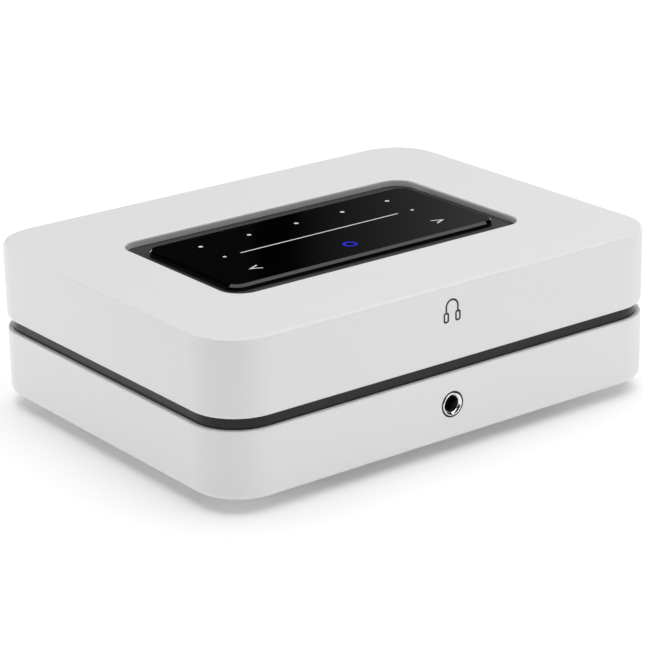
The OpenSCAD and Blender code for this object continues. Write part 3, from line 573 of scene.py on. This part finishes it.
def makeScrews():
    # rear panel screws, and the four in the wells under the casing
    rear = {"head": 2.1, "headHigh": 1.0, "shank": 1.0, "long": 4.0, "across": 79.5,
            "low": 17.0, "high": 59.0}
    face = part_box("rear_panel")[1][1] / mm
    shape = screwShape(rear)
    whole = bmesh.new()
    for x in (-rear["across"], rear["across"]):
        for z in (rear["low"], rear["high"]):
            join(whole, shape, facing((0, 1, 0), (x, face + rear["headHigh"], z)))
    shape.free()
    keep(whole, "rearScrews", finishes["nickel_steel"], "root")
    low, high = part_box("casing_screws")
    under = {"head": 2.75, "headHigh": 2.0, "shank": 1.5, "long": (high[2] - low[2]) / mm}
    shape = screwShape(under)
    whole = bmesh.new()
    for x in (low[0] / mm + under["head"], high[0] / mm - under["head"]):
        for y in (low[1] / mm + under["head"], high[1] / mm - under["head"]):
            join(whole, shape, facing((0, 0, -1), (x, y, low[2] / mm)))
    shape.free()
    keep(whole, "casingScrews", finishes["nickel_steel"], "root", ("casing_screws",))


def makePad():
    # the rubber foot: a rounded slab with a raised rim and two grooves underneath
    pad = {"corner": 10.0, "edge": 0.45, "rim": 4.0, "groove": 1.2, "gap": 3.0, "deep": 0.5,
           "slope": 0.25}
    middle, size = middleOf("base_pad")
    bm = block(size, pad["corner"], pad["edge"], 4)
    for inset in (pad["rim"], pad["gap"]):
        under = min(bm.faces, key=lambda f: f.calc_center_median().z - f.calc_area())
        for wide, deep in ((inset, 0.0), (pad["slope"], -pad["deep"]), (pad["groove"], 0.0),
                           (pad["slope"], pad["deep"])):
            bmesh.ops.inset_region(bm, faces=[under], thickness=wide * mm, depth=deep * mm,
                                   use_even_offset=True)
    bmesh.ops.transform(bm, matrix=Matrix.Translation(middle * mm), verts=bm.verts)
    keep(bm, "footPad", finishes["rubber_pad"], "root", ("base_pad",), 25.0)


def makeContacts():
    # tongues and plated contacts inside the data sockets
    contact = {"count": 8, "pitch": 1.02, "wide": 0.5, "long": 7.0, "bow": 0.8, "thick": 0.25,
               "tilt": -14.0, "lift": 1.2, "overlap": 0.3}
    tongueShape = {"edge": 0.15, "stripShare": 0.45, "stripShort": 1.5, "stripBow": -0.12,
                  "stripThick": 0.1, "usbGap": 0.5}
    insert = {"behind": 4.0, "side": 4.0, "deep": 3.0, "short": 6.0, "edge": 0.3}
    tongues = bmesh.new()
    plated = bmesh.new()
    for node, tongue, deep, strips, pitch in (
            ("video_shell", (11.0, 8.0, 1.6), 2.0, 9, 1.0), ("usb_shell", (10.2, 10.0, 1.5), 2.0, 4, 2.2)):
        middle, size = middleOf(node)
        back = middle.y - size.y / 2 + deep
        part = block(tongue, 0.0, tongueShape["edge"], 2)
        rise = size.z / 2 - tongueShape["usbGap"] - tongue[2] / 2
        z = middle.z + (rise if node == "usb_shell" else 0.0)
        join(tongues, part, Matrix.Translation(Vector((middle.x, back + tongue[1] / 2, z)) * mm))
        part.free()
        for i in range(strips):
            strip = leaf(pitch * tongueShape["stripShare"], tongue[1] - tongueShape["stripShort"],
                         tongueShape["stripBow"], tongueShape["stripThick"])
            x = middle.x + (i - (strips - 1) / 2) * pitch
            place = Vector((x, back + tongue[1] / 2, z - tongue[2] / 2))
            join(plated, strip, Matrix.Translation(place * mm))
            strip.free()
    middle, size = middleOf("network_shell")
    back = middle.y - size.y / 2 + insert["behind"]
    part = block((size.x - insert["side"], insert["deep"], size.z - insert["short"]), 0.0,
                 insert["edge"], 2)
    join(tongues, part, Matrix.Translation(Vector((middle.x, back + insert["deep"] / 2, middle.z)) * mm))
    part.free()
    tilt = Matrix.Rotation(math.radians(contact["tilt"]), 4, "X")
    for i in range(contact["count"]):
        strip = leaf(contact["wide"], contact["long"], contact["bow"], contact["thick"])
        x = middle.x + (i - (contact["count"] - 1) / 2) * contact["pitch"]
        y = back + insert["deep"] + contact["long"] / 2 - contact["overlap"]
        place = Vector((x, y, middle.z + contact["lift"]))
        join(plated, strip, Matrix.Translation(place * mm) @ tilt)
        strip.free()
    keep(tongues, "socketTongues", finishes["black_plastic"], "root", ("socket_inserts",))
    keep(plated, "platedContacts", finishes["gold_plate"], "root")


def makeGasket():
    # soft ring that seats the socket's bezel in the casing
    gasket = {"gap": 0.03, "soft": 0.12, "seat": 1.55, "inner": 4.45, "steps": 128}
    centre, size = middleOf("jack_gasket")
    wide = size.x / 2
    inner = middleOf("jack_bezel")[1].x / 2 + gasket["gap"]
    soft, seat, narrow = gasket["soft"], gasket["seat"], gasket["inner"]
    profile = [(inner, soft), (inner + soft, 0.0), (wide - soft, 0.0), (wide, soft),
               (wide, size.y - 0.1), (wide - 0.1, size.y), (narrow + 0.05, size.y),
               (narrow, size.y - 0.05), (narrow, seat + 0.11), (narrow + 0.05, seat + 0.05),
               (inner, seat)]
    ring = turned(profile, gasket["steps"])
    whole = bmesh.new()
    join(whole, ring, facing((0, 1, 0), (centre.x, centre.y - size.y / 2, centre.z)))
    ring.free()
    keep(whole, "bezelGasket", finishes["adhesive"], "root", ("jack_gasket",))


makeKnob("left_plus", finishes["red_plastic"])
makeKnob("left_minus", finishes["black_plastic"])
makeKnob("right_plus", finishes["red_plastic"])
makeKnob("right_minus", finishes["black_plastic"])
makeCollars()
print("speaker terminals done")
makeBezel()
makeGasket()
makeContacts()
print("sockets done")
makeScrews()
makePad()
print("screws and foot pad done")


def aimed(position, target, roll=0.0):
    back = (Vector(position) - Vector(target)).normalized()
    right = Vector((0, 0, 1)).cross(back).normalized()
    up = back.cross(right)
    c, s = math.cos(roll), math.sin(roll)
    right, up = right * c + up * s, up * c - right * s
    turn = Matrix((right, up, back)).transposed().to_4x4()
    return Matrix.Translation(position) @ turn


def makeCamera():
    view = {"azimuth": -36.67, "elevation": 19.77, "distance": 1.02586, "roll": -1.25,
            "aim": (-0.01273, -0.01538, 0.03807), "lens": 141.27, "sensor": 36.0, "near": 0.01}
    a, e = math.radians(view["azimuth"]), math.radians(view["elevation"])
    back = Vector((math.sin(a) * math.cos(e), -math.cos(a) * math.cos(e), math.sin(e)))
    aim = Vector(view["aim"])
    lens = bpy.data.cameras.new("camera")
    lens.lens = view["lens"]
    lens.sensor_width = view["sensor"]
    lens.clip_start = view["near"]
    camera = bpy.data.objects.new("camera", lens)
    bpy.context.scene.collection.objects.link(camera)
    camera.matrix_world = aimed(aim + back * view["distance"], aim, math.radians(view["roll"]))
    bpy.context.scene.camera = camera


def softBox(name, position, target, width, height, power):
    lamp = bpy.data.lights.new(name, "AREA")
    lamp.shape = "RECTANGLE"
    lamp.size = width
    lamp.size_y = height
    lamp.energy = power
    holder = bpy.data.objects.new(name, lamp)
    bpy.context.scene.collection.objects.link(holder)
    holder.matrix_world = aimed(position, target)
    holder.visible_camera = False


def staged(bm, name, paint):
    mesh = bpy.data.meshes.new(name)
    bm.to_mesh(mesh)
    bm.free()
    thing = bpy.data.objects.new(name, mesh)
    bpy.context.scene.collection.objects.link(thing)
    mesh.materials.append(paint.material)
    return thing


def makeStudio():
    # each soft box: name, place, width, height, watts
    studio = {"sky": 0.01, "floor": 0.93, "glow": 0.15, "floorHalf": 6.0, "aim": (0, 0, 0.03),
              "boxes": (
        ("overhead", (0.15, 0.0, 1.3), 2.3, 2.1, 31.0),
        ("lowFront", (0.2, -1.0, 0.09), 0.8, 0.14, 1.9),
        ("lowFrontRight", (0.75, -0.8, 0.14), 0.7, 0.24, 0.2),
        ("lowLeftBack", (-0.95, 0.5, 0.14), 0.7, 0.24, 2.5),
        ("lowLeft", (-1.0, -0.1, 0.09), 0.8, 0.14, 0.3),
        ("lowBack", (-0.1, 1.0, 0.12), 0.9, 0.16, 2.2),
        ("lowRight", (1.0, 0.25, 0.12), 0.7, 0.16, 1.6))}
    world = bpy.data.worlds.new("studio")
    bpy.context.scene.world = world
    world.use_nodes = True
    backdrop = world.node_tree.nodes["Background"]
    backdrop.inputs["Color"].default_value = (1, 1, 1, 1)
    backdrop.inputs["Strength"].default_value = studio["sky"]
    bm = bmesh.new()
    bmesh.ops.create_grid(bm, x_segments=1, y_segments=1, size=studio["floorHalf"])
    staged(bm, "floor", Finish("floorPaint", grey(studio["floor"]), 0.9, Specular_IOR_Level=0.0,
                               Emission_Color=(1, 1, 1, 1), Emission_Strength=studio["glow"]))
    for name, place, width, height, power in studio["boxes"]:
        softBox(name, place, studio["aim"], width, height, power)
    makeCard()
    bpy.context.scene.view_settings.view_transform = "Standard"


def makeCard():
    # a dim card behind the object, which only its gloss sees: dark at one end, grey at the other
    card = {"away": 1.2, "bearing": 53.33, "left": -0.06, "right": 0.5, "low": 0.25, "high": 0.8,
            "stops": ((0.05, grey(0.0)), (0.12, grey(0.034)), (0.19, grey(0.062)), (0.28, grey(0.108)),
                      (0.36, grey(0.165)), (0.6, grey(0.2)))}
    bearing = math.radians(card["bearing"])
    away = Vector((math.cos(bearing), math.sin(bearing), 0.0))
    side = Vector((away.y, -away.x, 0.0))
    width = card["right"] - card["left"]
    bm = bmesh.new()
    bmesh.ops.create_grid(bm, x_segments=1, y_segments=1, size=0.5)
    turn = Matrix((side, Vector((0, 0, 1)), -away)).transposed().to_4x4()
    middle = away * card["away"] + side * (card["left"] + width / 2)
    middle.z = (card["low"] + card["high"]) / 2
    bmesh.ops.scale(bm, vec=(width, card["high"] - card["low"], 1.0), verts=bm.verts)
    bmesh.ops.transform(bm, matrix=Matrix.Translation(middle) @ turn, verts=bm.verts)
    paint = Finish("cardPaint", grey(0.0), 1.0, Specular_IOR_Level=0.0, Emission_Strength=1.0)
    along = paint.node("ShaderNodeVectorMath", {"operation": "DOT_PRODUCT"},
                       {0: paint.place, 1: tuple(side)}, out="Value")
    start = side.dot(away * card["away"]) + card["left"]
    paint.set("Emission Color", paint.ramp((along - start) * (1.0 / width), *card["stops"]))
    thing = staged(bm, "card", paint)
    thing.visible_camera = False
    thing.visible_shadow = False
    thing.visible_diffuse = False


makeCamera()
makeStudio()
print("studio ready")
